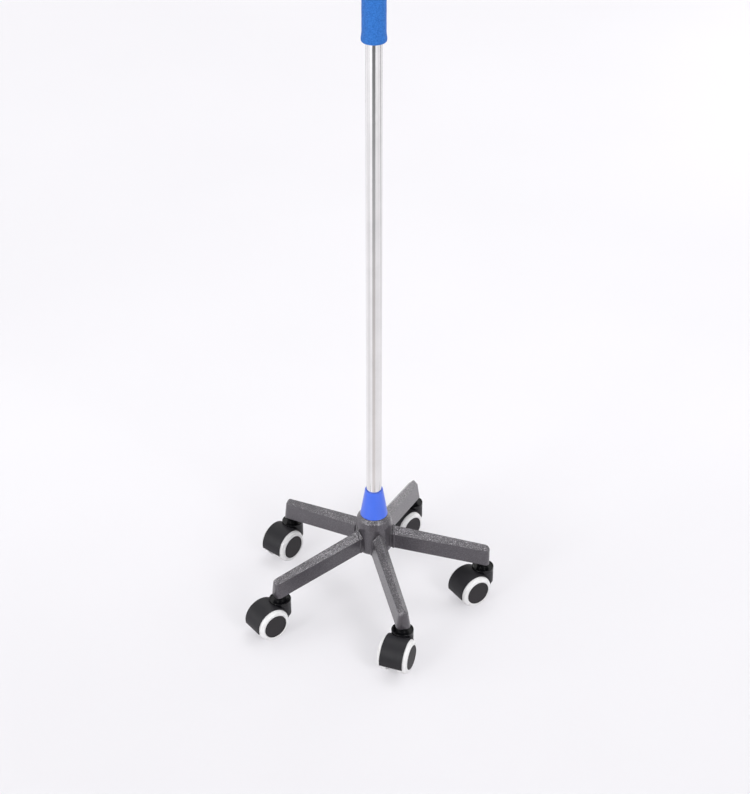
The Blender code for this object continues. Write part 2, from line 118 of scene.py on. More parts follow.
def hammertone_paint():
    """Dark grey hammered enamel: cells and metallic flecks on top, smoother on the steep walls; upward
    faces also get painted glints, the flecks' colour spreading to bright specks.
    """
    material, tree, shader, coords = surface("hammertone", Metallic=0.55, Coat_Weight=1.0)
    shader.inputs["Coat Roughness"].default_value = 0.16
    normal = node(tree, "ShaderNodeNewGeometry").outputs["True Normal"]
    upward = node(tree, "ShaderNodeSeparateXYZ", Vector=normal).outputs["Z"]
    flecks = noise(tree, coords, 620.0, 4.0, 0.7)
    broad = noise(tree, coords, 22.0, 2.0)
    broad_share = 0.16
    tone = node(tree, "ShaderNodeMath", {"operation": "MULTIPLY_ADD", 1: broad_share})
    tree.links.new(broad, tone.inputs[0])
    tree.links.new(flecks, tone.inputs[2])
    middle_tone = 0.6
    offset = node(tree, "ShaderNodeMath", {"operation": "SUBTRACT", 1: middle_tone})
    tree.links.new(tone.outputs[0], offset.inputs[0])
    steep, shallow = 0.2, 0.55
    # Painted glints: on upward faces the flecks' colour spreads further, up to bright specks
    painted_glint_spread = node(tree, "ShaderNodeMapRange", {
        "From Min": steep, "From Max": shallow, "To Min": 0.25, "To Max": 1.1}, Value=upward)
    painted_glint_tone = node(tree, "ShaderNodeMath", {"operation": "MULTIPLY_ADD", 2: middle_tone})
    tree.links.new(offset.outputs[0], painted_glint_tone.inputs[0])
    tree.links.new(painted_glint_spread.outputs[0], painted_glint_tone.inputs[1])
    colour = ramp(tree, painted_glint_tone.outputs[0], [
        (0.40, (0.024, 0.022, 0.026)), (0.58, (0.061, 0.055, 0.066)),
        (0.68, (0.135, 0.127, 0.14)), (0.80, (0.34, 0.325, 0.345))])
    tree.links.new(colour, shader.inputs["Base Color"])
    tree.links.new(ramp(tree, flecks, [(0.35, 0.46), (0.65, 0.28)]), shader.inputs["Roughness"])
    cells = node(tree, "ShaderNodeTexVoronoi", {"Scale": 440.0, "feature": "SMOOTH_F1"}, Vector=coords)
    height = node(tree, "ShaderNodeMath", {"operation": "MULTIPLY_ADD", 1: 0.5})
    tree.links.new(flecks, height.inputs[0])
    tree.links.new(cells.outputs["Distance"], height.inputs[2])
    depth = node(tree, "ShaderNodeMapRange", {
        "From Min": steep, "From Max": shallow, "To Min": 0.14, "To Max": 0.85}, Value=upward)
    dimples = node(tree, "ShaderNodeBump", {"Distance": 0.85 * MM}, Height=height.outputs[0],
                   Strength=depth.outputs[0])
    tree.links.new(dimples.outputs["Normal"], shader.inputs["Normal"])
    tree.links.new(dimples.outputs["Normal"], shader.inputs["Coat Normal"])
    return material


def moulded_plastic(name, dark, light, roughness, texture, depth, coat=0.0, grain=900.0, shine=0.5):
    """Injection-moulded plastic: slight colour variation, and a fine texture of the given depth."""
    material, tree, shader, coords = surface(name, Coat_Weight=coat)
    shader.inputs["Coat Roughness"].default_value = 0.12
    shader.inputs["Specular IOR Level"].default_value = shine
    flow = noise(tree, coords, 30.0, 2.0)
    tree.links.new(ramp(tree, flow, [(0.3, dark), (0.7, light)]), shader.inputs["Base Color"])
    fine = noise(tree, coords, grain, 2.0)
    low, high = roughness
    tree.links.new(ramp(tree, fine, [(0.3, low), (0.7, high)]), shader.inputs["Roughness"])
    bump(tree, shader, fine, texture, depth)
    return material


def foam_rubber():
    """Closed-cell foam: rounded pebbles, with painted shade darkening the pits between them."""
    material, tree, shader, coords = surface("foam", Sheen_Weight=0.06)
    shader.inputs["Sheen Roughness"].default_value = 0.5
    shader.inputs["Specular IOR Level"].default_value = 0.3
    cells = node(tree, "ShaderNodeTexVoronoi", {"Scale": 520.0, "feature": "SMOOTH_F1"}, Vector=coords)
    pebble = cells.outputs["Distance"]
    fine = noise(tree, coords, 1500.0, 3.0)
    both = node(tree, "ShaderNodeMath", {"operation": "MULTIPLY_ADD", 1: 0.35})
    tree.links.new(fine, both.inputs[0])
    tree.links.new(pebble, both.inputs[2])
    # Painted shade: the colour darkens from the pebbles' middles towards the pits between them
    colour = ramp(tree, both.outputs[0], [
        (0.25, (0.030, 0.172, 0.54)), (0.55, (0.019, 0.136, 0.465)), (0.85, (0.011, 0.102, 0.38))])
    tree.links.new(colour, shader.inputs["Base Color"])
    tree.links.new(ramp(tree, fine, [(0.3, 0.68), (0.7, 0.86)]), shader.inputs["Roughness"])
    inverted = node(tree, "ShaderNodeMath", {"operation": "SUBTRACT", 0: 1.0})
    tree.links.new(both.outputs[0], inverted.inputs[1])
    bump(tree, shader, inverted.outputs[0], 0.35, 0.5 * MM)
    return material


def polished_steel(name, low, high, colour=(0.91, 0.902, 0.897), relief=0.04):
    """Polished steel: faint lines round it, and cloudy handling marks in its gloss and tone."""
    material, tree, shader, coords = surface(name, Metallic=1.0)
    lines = noise(tree, stretched(tree, coords, (1.0, 1.0, 14.0)), 160.0, 3.0)
    cloud = noise(tree, coords, 24.0, 3.0)
    both = node(tree, "ShaderNodeMath", {"operation": "MULTIPLY_ADD", 1: 0.5})
    tree.links.new(lines, both.inputs[0])
    halved = node(tree, "ShaderNodeMath", {"operation": "MULTIPLY", 1: 0.5})
    tree.links.new(cloud, halved.inputs[0])
    tree.links.new(halved.outputs[0], both.inputs[2])
    tree.links.new(ramp(tree, both.outputs[0], [(0.3, low), (0.7, high)]), shader.inputs["Roughness"])
    smudges = 0.03
    darker = tuple(value * (1.0 - 2.0 * smudges) for value in colour)
    tree.links.new(ramp(tree, cloud, [(0.35, darker), (0.65, colour)]), shader.inputs["Base Color"])
    bump(tree, shader, lines, relief, 0.05 * MM)
    return material


def tyre_rubber():
    """White cast polyurethane with a trace of floor dust on it."""
    material, tree, shader, coords = surface("tyre", Subsurface_Weight=0.08)
    shader.inputs["Subsurface Radius"].default_value = (0.004, 0.004, 0.004)
    shader.inputs["Subsurface Scale"].default_value = 0.2
    dust = noise(tree, coords, 85.0, 5.0, 0.6)
    tree.links.new(ramp(tree, dust, [
        (0.28, (0.62, 0.61, 0.60)), (0.42, (0.715, 0.71, 0.715)), (0.8, (0.74, 0.735, 0.745))]),
        shader.inputs["Base Color"])
    fine = noise(tree, coords, 700.0, 2.0)
    tree.links.new(ramp(tree, fine, [(0.3, 0.4), (0.7, 0.52)]), shader.inputs["Roughness"])
    bump(tree, shader, fine, 0.08, 0.1 * MM)
    return material


PAINT = hammertone_paint()
BLUE = moulded_plastic(
    "blue_plastic", (0.040, 0.127, 0.70), (0.044, 0.135, 0.72), (0.3, 0.36), 0.02, 0.1 * MM,
    coat=0.3, grain=260.0)
FOAM = foam_rubber()
NYLON = moulded_plastic(
    "black_nylon", (0.015, 0.0145, 0.017), (0.020, 0.0195, 0.0225), (0.42, 0.52), 0.14, 0.12 * MM,
    shine=0.24)
GLOSS = moulded_plastic(
    "black_gloss", (0.003, 0.003, 0.004), (0.005, 0.005, 0.006), (0.14, 0.2), 0.02, 0.05 * MM,
    grain=300.0, shine=0.3)
CAP = moulded_plastic(
    "wheel_cap", (0.012, 0.010, 0.012), (0.017, 0.0145, 0.017), (0.5, 0.62), 0.2, 0.1 * MM,
    shine=0.36)
TYRE = tyre_rubber()
STEEL = polished_steel("polished_steel", 0.06, 0.12)
WIRE_STEEL = polished_steel("wire_steel", 0.12, 0.22)
ZINC = polished_steel("zinc", 0.28, 0.42, (0.56, 0.57, 0.58), 0.1)
NATURAL = moulded_plastic(
    "natural_nylon", (0.7, 0.68, 0.62), (0.76, 0.74, 0.69), (0.4, 0.5), 0.05, 0.1 * MM)


# ---------------------------------------------------------------- mesh helpers


def rounded(corners, steps=4):
    """A closed outline in which each corner (x, y, radius) becomes a short curve."""
    outline = []
    count = len(corners)
    for index, (x, y, radius) in enumerate(corners):
        corner = Vector((x, y))
        if radius <= 0.0:
            outline.append((x, y))
            continue
        before = Vector(corners[index - 1][:2]) - corner
        after = Vector(corners[(index + 1) % count][:2]) - corner
        half = before.angle(after) / 2
        cut = min(radius / math.tan(half), before.length * 0.48, after.length * 0.48)
        start = corner + before.normalized() * cut
        end = corner + after.normalized() * cut
        for step in range(steps + 1):
            t = step / steps
            point = start * (1 - t) ** 2 + corner * 2 * t * (1 - t) + end * t ** 2
            outline.append((point.x, point.y))
    return outline


def arc(centre, radius, first, last, steps):
    angles = [math.radians(first + (last - first) * k / steps) for k in range(steps + 1)]
    return [(centre[0] + radius * math.cos(a), centre[1] + radius * math.sin(a)) for a in angles]


def bridge(shape, ring, following):
    for index in range(len(ring)):
        after = (index + 1) % len(ring)
        corners = list(dict.fromkeys((ring[index], ring[after], following[after], following[index])))
        if len(corners) > 2:
            shape.faces.new(corners)


def to_mesh(name, shape, material, sharp=40.0):
    bmesh.ops.recalc_face_normals(shape, faces=shape.faces)
    mesh = bpy.data.meshes.new(name)
    shape.to_mesh(mesh)
    shape.free()
    mesh.materials.append(material)
    mesh.shade_smooth()
    mesh.set_sharp_from_angle(angle=math.radians(sharp))
    return mesh


def revolved(name, outline, material, segments=96, sharp=40.0):
    """A closed outline of (radius, height) turned about Z."""
    shape = bmesh.new()
    angles = [math.tau * (index + 0.5) / segments for index in range(segments)]
    rings = []
    for radius, height in outline:
        if radius < 1e-7:
            rings.append([shape.verts.new((0, 0, height))] * segments)
        else:
            rings.append([
                shape.verts.new((radius * math.cos(a), radius * math.sin(a), height)) for a in angles])
    for ring, following in zip(rings, rings[1:] + rings[:1]):
        bridge(shape, ring, following)
    return to_mesh(name, shape, material, sharp)


def lofted(name, loops, material, sharp=40.0):
    """A closed skin over a row of loops, with a face at each end."""
    shape = bmesh.new()
    rings = [[shape.verts.new(point) for point in loop] for loop in loops]
    for ring, following in zip(rings, rings[1:]):
        bridge(shape, ring, following)
    shape.faces.new(rings[0])
    shape.faces.new(rings[-1])
    return to_mesh(name, shape, material, sharp)


def bar(start, end, radius, segments=64):
    """Mesh of a round bar, for cutting and joining."""
    axis = Vector(end) - Vector(start)
    turn = axis.to_track_quat("Z", "Y").to_matrix()
    circle = [
        turn @ Vector((radius * math.cos(a), radius * math.sin(a), 0))
        for a in (math.tau * (index + 0.5) / segments for index in range(segments))]
    return lofted("bar", [[Vector(foot) + point for point in circle] for foot in (start, end)], NYLON)


def combined(mesh, others, operation):
    """The mesh with the others cut from it or joined to it."""
    body = bpy.data.objects.new("body", mesh)
    bpy.context.scene.collection.objects.link(body)
    for other in others:
        tool = bpy.data.objects.new("tool", other)
        bpy.context.scene.collection.objects.link(tool)
        step = body.modifiers.new("cut", "BOOLEAN")
        step.operation = operation
        step.object = tool
        graph = bpy.context.evaluated_depsgraph_get()
        body.data = bpy.data.meshes.new_from_object(body.evaluated_get(graph))
        body.modifiers.clear()
        bpy.data.objects.remove(tool)
    result = body.data
    bpy.data.objects.remove(body)
    material = result.materials[0]
    result.materials.clear()
    result.materials.append(material)
    result.shade_smooth()
    result.set_sharp_from_angle(angle=math.radians(35))
    return result


def piece(name, mesh, place, body, replaced=(), bevel=0.0, angle=38.0):
    """Puts a mesh in the scene as a piece on a body, with softened edges where a bevel is given."""
    thing = bpy.data.objects.new(name, mesh.copy())
    bpy.context.scene.collection.objects.link(thing)
    thing.matrix_world = place
    if bevel:
        soft = thing.modifiers.new("soft edges", "BEVEL")
        soft.width = bevel
        soft.segments = 2
        soft.limit_method = "ANGLE"
        soft.angle_limit = math.radians(angle)
        soft.harden_normals = False
    normals = thing.modifiers.new("normals", "WEIGHTED_NORMAL")
    normals.keep_sharp = True
    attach(thing, body)
    if replaced:
        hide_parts(*replaced)
    return thing


# ---------------------------------------------------------------- base

LEG_ROOT = 26.0 * MM
LEG_START = 27.5 * MM
LEG_END = 199.0 * MM
NOSE_RADIUS = 7.6 * MM
STEM_CIRCLE = 188.0 * MM
LEG_WALL = 3.0 * MM
HOLLOW_END = LEG_END - 11.6 * MM


def leg_measures(distance):
    """Half-width at the foot and at the eaves, and the three heights, at a distance from the column."""
    along = (distance - LEG_ROOT) / (LEG_END - LEG_ROOT)
    foot = 13.6 * MM - 1.1 * MM * along
    eave = 10.5 * MM - 2.3 * MM * along
    low = 104.5 * MM - 35.5 * MM * along
    eave_height = 129.5 * MM - 33.0 * MM * along
    ridge = 142.3 * MM - 37.8 * MM * along
    return foot, eave, low, eave_height, ridge


def leg_outer(distance, grow=0.0):
    """House-shaped outline of a leg with its corners eased; the nose narrows and drops to its tip."""
    foot, eave, low, eave_height, ridge = leg_measures(distance)
    into = min(max(distance - (LEG_END - NOSE_RADIUS), 0.0), NOSE_RADIUS)
    lost = NOSE_RADIUS - math.sqrt(NOSE_RADIUS ** 2 - into ** 2)
    kept = max(eave - lost, 0.35 * MM)
    drop = 1.25 * lost
    height = ridge - drop - (ridge - eave_height) * kept / eave
    ridge -= drop
    ease = min(0.6 * MM, kept)
    corners = [
        (foot - lost + grow, low, 0.5 * MM),
        (kept + grow, height + 0.6 * grow, ease),
        (0.0, ridge + grow, min(1.3 * MM, kept)),
        (-kept - grow, height + 0.6 * grow, ease),
        (-foot + lost - grow, low, 0.5 * MM),
    ]
    return rounded(corners, 3)


def leg_inner(distance):
    """Outline of the hollow under a leg's roof."""
    foot, eave, low, eave_height, ridge = leg_measures(distance)
    inset = LEG_WALL
    corners = [
        (-foot + inset, low, 0.0),
        (-eave + inset, eave_height - 0.6 * inset, 0.8 * MM),
        (0.0, ridge - 1.3 * inset, 0.8 * MM),
        (eave - inset, eave_height - 0.6 * inset, 0.8 * MM),
        (foot - inset, low, 0.0),
    ]
    return rounded(corners, 2)


def leg_mesh():
    """One leg along +X: a channel open below, closed at its rounded nose."""
    shape = bmesh.new()

    def ring(distance, outline):
        return [shape.verts.new((distance, across, up)) for across, up in outline]

    def strip(first, second):
        for index in range(len(first) - 1):
            shape.faces.new((first[index], first[index + 1], second[index + 1], second[index]))

    starts = [LEG_START + (HOLLOW_END - LEG_START) * k / 12 for k in range(13)]
    outer = [ring(distance, leg_outer(distance)) for distance in starts]
    inner = [ring(distance, leg_inner(distance)) for distance in starts]
    for k in range(len(starts) - 1):
        strip(outer[k], outer[k + 1])
        strip(inner[k], inner[k + 1])
        shape.faces.new((outer[k][-1], inner[k][0], inner[k + 1][0], outer[k + 1][-1]))
        shape.faces.new((inner[k][-1], outer[k][0], outer[k + 1][0], inner[k + 1][-1]))
    shape.faces.new(outer[0] + inner[0])
    shape.faces.new(inner[-1])
    nose = [outer[-1]]
    for back in (7.6, 5.6, 3.8, 2.2, 1.1, 0.4, 0.05):
        distance = LEG_END - back * MM
        nose.append(ring(distance, leg_outer(distance)))
    for first, second in zip(nose, nose[1:]):
        strip(first, second)
    # Flat underside of the nose, from the hollow's end to the tip
    shape.faces.new((outer[-1][-1], inner[-1][0], inner[-1][-1], outer[-1][0], nose[1][0], nose[1][-1]))
    for first, second in zip(nose[1:], nose[2:]):
        shape.faces.new((first[-1], first[0], second[0], second[-1]))
    shape.faces.new(nose[-1])
    return to_mesh("leg", shape, PAINT, 42.0)


def make_legs():
    """Five legs, each with a flange at the hub, ribs in its hollow and a socket for the stem."""
    mesh = leg_mesh()
    socket_foot, socket_top = 69.6 * MM, 92.0 * MM
    socket_bore, socket_radius = 5.9 * MM, 8.6 * MM
    socket = revolved("leg_socket", rounded([
        (socket_bore, socket_foot, 0.3 * MM), (socket_radius, socket_foot, 0.5 * MM),
        (socket_radius, socket_top, 0.2 * MM), (socket_bore, socket_top, 0.2 * MM)]), PAINT, 48)
    flange_loops = []
    # Distance from the column and how far the flange stands out, in mm
    flange = (
        (29.0, -0.2), (31.8, 0.2), (32.4, 1.2), (33.0, 1.6), (35.0, 1.6), (35.7, 1.1), (36.1, 0.1))
    for distance, grow in flange:
        flange_loops.append([
            (distance * MM, across, up) for across, up in leg_outer(distance * MM, grow * MM)])
    flange_mesh = lofted("leg_flange", flange_loops, PAINT, 50.0)
    ribs = []
    lift = 7.0 * MM
    for distance in (70.0, 112.0, 152.0):
        loops = []
        for offset in (-1.0, 1.0):
            outline = leg_inner((distance + offset) * MM)
            low = leg_measures((distance + offset) * MM)[2]
            loops.append([((distance + offset) * MM, across * 1.02, max(up, low + lift) + 0.2 * MM)
                          for across, up in outline])
        ribs.append(lofted("rib", loops, PAINT))
    for number in range(1, 6):
        foot = Vector(joints[f"caster_{number}_swivel"]["pos_m"])
        out = Vector((foot.x - COLUMN.x, foot.y - COLUMN.y))
        place = Matrix.Translation(COLUMN) @ Matrix.Rotation(math.atan2(out.y, out.x), 4, "Z")
        piece(f"leg_{number}_shell", mesh, place, "stand", (f"leg_{number}",))
        piece(f"leg_{number}_flange", flange_mesh, place, "stand")
        piece(f"leg_{number}_socket", socket, place @ Matrix.Translation((STEM_CIRCLE, 0, 0)), "stand")
        for index, rib in enumerate(ribs, 1):
            piece(f"leg_{number}_rib_{index}", rib, place, "stand", bevel=0.3 * MM)


def make_hub():
    """Drum with a domed shoulder, bored for the tube."""
    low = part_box("base_hub")[0].z
    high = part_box("base_hub")[1].z
    floor = low + 6 * MM
    tube_bore, bolt_bore = 13.1 * MM, 5.6 * MM
    outline = rounded([
        (tube_bore, high, 0.4 * MM),
        (tube_bore, floor, 0.2 * MM),
        (bolt_bore, floor, 0.2 * MM),
        (bolt_bore, low, 0.4 * MM),
        (30.6 * MM, low, 1.2 * MM),
        (31.4 * MM, low + 4 * MM, 3.0 * MM),
        (31.0 * MM, high - 38 * MM, 10.0 * MM),
        (30.8 * MM, high - 23.0 * MM, 3.0 * MM),
        (31.0 * MM, high - 17.0 * MM, 5.0 * MM),
        (28.8 * MM, high - 6.5 * MM, 9.0 * MM),
        (23.6 * MM, high, 0.8 * MM),
    ], 5)
    mesh = revolved("hub", outline, PAINT, 128)
    piece("hub_drum", mesh, Matrix.Translation(COLUMN), "stand", ("base_hub",))


# ---------------------------------------------------------------- casters

FIRST_STEM = Vector(joints["caster_1_swivel"]["pos_m"])
FIRST_AXLE = Vector(joints["caster_1_spin_a"]["pos_m"])
TRAIL = math.hypot(FIRST_AXLE.x - FIRST_STEM.x, FIRST_AXLE.y - FIRST_STEM.y)
WHEEL_RADIUS = 29.0 * MM
WEB = 8.7 * MM
POCKET_RADIUS = 29.7 * MM
POCKET_DEPTH = 30 * MM
COLLAR_RADIUS = 18.6 * MM
COLLAR_FOOT = 55.0 * MM
COLLAR_TOP = 61.0 * MM
STEM_RADIUS = 5.5 * MM


def wheel_pockets():
    """Cutters for the rooms of the two wheels, one on each side of the web."""
    return [
        bar((TRAIL, side * WEB, WHEEL_RADIUS), (TRAIL, side * POCKET_DEPTH, WHEEL_RADIUS),
            POCKET_RADIUS, 120)
        for side in (-1, 1)]


def hood_mesh():
    """Fender over both wheels with its web and boss, trailing along +X from the stem."""
    centre = (TRAIL, WHEEL_RADIUS)
    radius, web_radius = 31.0 * MM, 11.5 * MM
    outline = arc(centre, radius, -13, 176, 72) + arc(centre, web_radius, 215, 325, 16)
    half = 19.8 * MM
    mesh = lofted("hood", [[(x, side * half, z) for x, z in outline] for side in (-1, 1)], NYLON, 30.0)
    boss_foot, seat_height, above = 31.2 * MM, 54.7 * MM, 80 * MM
    boss = bar((0, 0, boss_foot), (0, 0, seat_height), COLLAR_RADIUS - 0.2 * MM, 96)
    mesh = combined(mesh, [boss], "UNION")
    seat = bar((0, 0, seat_height), (0, 0, above), COLLAR_RADIUS + 0.3 * MM, 96)
    pockets = wheel_pockets()
    stem_bore = bar((0, 0, 37.0 * MM), (0, 0, above), STEM_RADIUS + 0.4 * MM, 32)
    axle_bore = bar(
        (TRAIL, -POCKET_DEPTH, WHEEL_RADIUS), (TRAIL, POCKET_DEPTH, WHEEL_RADIUS), 3.3 * MM, 32)
    return combined(mesh, [seat, *pockets, stem_bore, axle_bore], "DIFFERENCE")


def collar_mesh():
    """Glossy dust collar with a sunk top face."""
    outline = rounded([
        (6.3 * MM, COLLAR_FOOT, 0.2 * MM),
        (COLLAR_RADIUS, COLLAR_FOOT, 0.3 * MM),
        (COLLAR_RADIUS, COLLAR_TOP, 0.7 * MM),
        (COLLAR_RADIUS - 1.9 * MM, COLLAR_TOP, 0.5 * MM),
        (COLLAR_RADIUS - 2.5 * MM, 59.4 * MM, 0.5 * MM),
        (9.6 * MM, 59.4 * MM, 0.5 * MM),
        (9.2 * MM, 60.8 * MM, 0.4 * MM),
        (6.3 * MM, 60.8 * MM, 0.2 * MM),
    ])
    mesh = revolved("collar", outline, GLOSS, 96)
    return combined(mesh, wheel_pockets(), "DIFFERENCE")


def stem_mesh():
    """Steel pin with a grooved flange under the leg."""
    return revolved("stem", rounded([
        (0.0, 37.3 * MM, 0.0),
        (STEM_RADIUS, 37.3 * MM, 0.8 * MM),
        (STEM_RADIUS, 61.3 * MM, 0.1 * MM),
        (8.0 * MM, 61.3 * MM, 0.4 * MM),
        (8.0 * MM, 63.6 * MM, 0.3 * MM),
        (7.0 * MM, 64.2 * MM, 0.2 * MM),
        (7.0 * MM, 66.4 * MM, 0.2 * MM),
        (8.0 * MM, 67.0 * MM, 0.3 * MM),
        (8.0 * MM, 69.2 * MM, 0.4 * MM),
        (STEM_RADIUS, 69.2 * MM, 0.1 * MM),
        (STEM_RADIUS, 89.7 * MM, 0.8 * MM),
        (0.0, 89.7 * MM, 0.0),
    ]), ZINC, 48)


def stem_ring_mesh():
    """Black stepped sleeve over the pin, between the leg and the dust collar."""
    return revolved("ring", rounded([
        (8.15 * MM, 61.4 * MM, 0.2 * MM),
        (10.2 * MM, 61.4 * MM, 0.5 * MM),
        (10.2 * MM, 63.6 * MM, 0.5 * MM),
        (9.0 * MM, 64.2 * MM, 0.3 * MM),
        (9.0 * MM, 66.2 * MM, 0.3 * MM),
        (10.6 * MM, 66.8 * MM, 0.5 * MM),
        (10.6 * MM, 69.3 * MM, 0.4 * MM),
        (8.15 * MM, 69.3 * MM, 0.2 * MM),
    ]), GLOSS, 64)


def wheel_mesh():
    """Wheel core with its flat cap; +Z points away from the caster's middle."""
    return revolved("wheel", rounded([
        (3.4 * MM, 9.3 * MM, 0.2 * MM),
        (7.5 * MM, 9.3 * MM, 0.4 * MM),
        (7.5 * MM, 12.0 * MM, 0.4 * MM),
        (17.5 * MM, 12.0 * MM, 0.6 * MM),
        (18.5 * MM, 9.3 * MM, 0.4 * MM),
        (20.9 * MM, 9.3 * MM, 0.4 * MM),
        (20.9 * MM, 26.3 * MM, 0.3 * MM),
        (20.2 * MM, 27.0 * MM, 0.5 * MM),
        (18.6 * MM, 27.0 * MM, 0.3 * MM),
        (18.2 * MM, 26.7 * MM, 0.3 * MM),
        (0.0, 26.75 * MM, 0.0),
        (0.0, 23.2 * MM, 0.0),
        (3.4 * MM, 23.2 * MM, 0.2 * MM),
    ]), CAP, 96, 35.0)


def tyre_mesh():
    """Tyre with a level tread, a rounded outer shoulder and a small inner one."""
    return revolved("tyre", rounded([
        (21.1 * MM, 9.6 * MM, 0.2 * MM),
        (29.0 * MM, 9.6 * MM, 0.3 * MM),
        (29.0 * MM, 20.6 * MM, 4.0 * MM),
        (27.2 * MM, 24.4 * MM, 2.6 * MM),
        (24.2 * MM, 26.3 * MM, 1.8 * MM),
        (21.1 * MM, 26.3 * MM, 0.5 * MM),
    ], 6), TYRE, 120, 50.0)


def axle_mesh():
    end, radius = 22.8 * MM, 3.0 * MM
    return revolved("axle", rounded([
        (0.0, -end, 0.0), (radius, -end, 0.5 * MM), (radius, end, 0.5 * MM), (0.0, end, 0.0)]),
        ZINC, 32)


def make_casters():
    hood, collar, stem = hood_mesh(), collar_mesh(), stem_mesh()
    wheel, tyre, axle, ring = wheel_mesh(), tyre_mesh(), axle_mesh(), stem_ring_mesh()
    for number in range(1, 6):
        foot = Vector(joints[f"caster_{number}_swivel"]["pos_m"])
        hub = Vector(joints[f"caster_{number}_spin_a"]["pos_m"])
        trail = math.atan2(hub.y - foot.y, hub.x - foot.x)
        place = Matrix.Translation((foot.x, foot.y, 0)) @ Matrix.Rotation(trail, 4, "Z")
        centre = place @ Matrix.Translation((TRAIL, 0, WHEEL_RADIUS))
        name = f"caster_{number}"
        piece(f"{name}_pin", stem, place, "stand", (f"{name}_stem",))
        piece(f"{name}_stem_ring", ring, place, "stand")
        piece(f"{name}_fender", hood, place, name, (f"{name}_hood",), 0.35 * MM, 50.0)
        piece(f"{name}_dust_collar", collar, place, name, (f"{name}_collar",))
        sideways = centre @ Matrix.Rotation(math.radians(-90), 4, "X")
        piece(f"{name}_spindle", axle, sideways, name, (f"{name}_axle",))
        for side, turn in (("a", -90), ("b", 90)):
            outward = centre @ Matrix.Rotation(math.radians(turn), 4, "X")
            roller = f"{name}_roller_{side}"
            piece(f"{name}_core_{side}", wheel, outward, roller,
                  (f"{name}_wheel_{side}",))
            piece(f"{name}_tread_{side}", tyre, outward, roller,
                  (f"{name}_tyre_{side}",))


# ---------------------------------------------------------------- column


def on_column(height=0.0):
    return Matrix.Translation((COLUMN.x, COLUMN.y, height))


def make_column():
    """The outer tube with its plugged foot, the conical cover, the grip and the bolt."""
    low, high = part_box("outer_tube")[0].z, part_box("outer_tube")[1].z
    radius, bore, bolt_bore = 12.7 * MM, 11.5 * MM, 5.3 * MM
    plug_top = low + 20 * MM
    outline = [
        (bolt_bore, low, 0.2 * MM), (radius, low, 0.3 * MM), (radius, high, 0.4 * MM),
        (bore, high, 0.3 * MM), (bore, plug_top, 0.0), (bolt_bore, plug_top, 0.0)]
    piece("column_tube", revolved("tube", rounded(outline), STEEL, 128), on_column(), "stand",
          ("outer_tube",))

    low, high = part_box("hub_cover")[0].z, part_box("hub_cover")[1].z
    outline = rounded([
        (21.6 * MM, low, 0.2 * MM),
        (23.3 * MM, low, 0.35 * MM),
        (23.2 * MM, low + 1.6 * MM, 0.6 * MM),
        (15.3 * MM, high - 1.0 * MM, 0.6 * MM),
        (15.2 * MM, high, 0.4 * MM),
        (13.0 * MM, high, 0.3 * MM),
        (13.0 * MM, high - 3.0 * MM, 0.3 * MM),
    ])
    piece("cone_cover", revolved("cone", outline, BLUE, 128), on_column(), "stand",
          ("hub_cover",))

    make_grip()
    make_bolt()


def make_grip():
    """Foam sleeve: many rings, so that the lips roll over and the wall is a little uneven."""
    low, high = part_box("grip")[0].z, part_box("grip")[1].z
    # Radius and distance from the sleeve's end, in mm
    lip = [(13.05, 0.4), (16.6, 0.15), (18.6, 0.5), (19.4, 1.6), (19.7, 3.4), (19.55, 6.5),
           (19.0, 10.0), (18.55, 15.0)]
    lower = [(radius * MM, low + rise * MM) for radius, rise in lip]
    upper = [(radius * MM, high - rise * MM) for radius, rise in reversed(lip)]
    wall = []
    steps = 24
    wall_radius, swell, waves = 18.5 * MM, 0.06 * MM, 260.0
    for k in range(1, steps):
        height = lower[-1][1] + (upper[0][1] - lower[-1][1]) * k / steps
        wall.append((wall_radius + swell * math.sin(height * waves), height))
    outline = lower + wall + upper
    sleeve = piece("grip_sleeve", revolved("grip", outline, FOAM, 96, 80.0), on_column(), "stand",
                   ("grip",))


def make_bolt():
    """Hexagon bolt from below the hub into the tube's plug."""
    low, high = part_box("column_bolt")[0].z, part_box("column_bolt")[1].z
    head_top = low + 7.0 * MM
    head_radius, shank_radius = 9.0 * MM, 4.9 * MM
    hexagon = [
        (head_radius * math.cos(math.tau * k / 6), head_radius * math.sin(math.tau * k / 6))
        for k in range(6)]
    loops = []
    for height, shrink in ((head_top, 1.0), (low + 0.9 * MM, 1.0), (low, 0.88)):
        loops.append([(x * shrink, y * shrink, height) for x, y in hexagon])
    piece("bolt_head", lofted("head", loops, ZINC, 20.0), on_column(), "stand",
          ("column_bolt",), 0.3 * MM)
    shank_foot = head_top - 1 * MM
    shank = revolved("shank", rounded([
        (0.0, shank_foot, 0.0), (shank_radius, shank_foot, 0.0), (shank_radius, high, 0.6 * MM),
        (0.0, high, 0.0)]), ZINC, 32)
    piece("bolt_shank", shank, on_column(), "stand")


# ---------------------------------------------------------------- height clamp


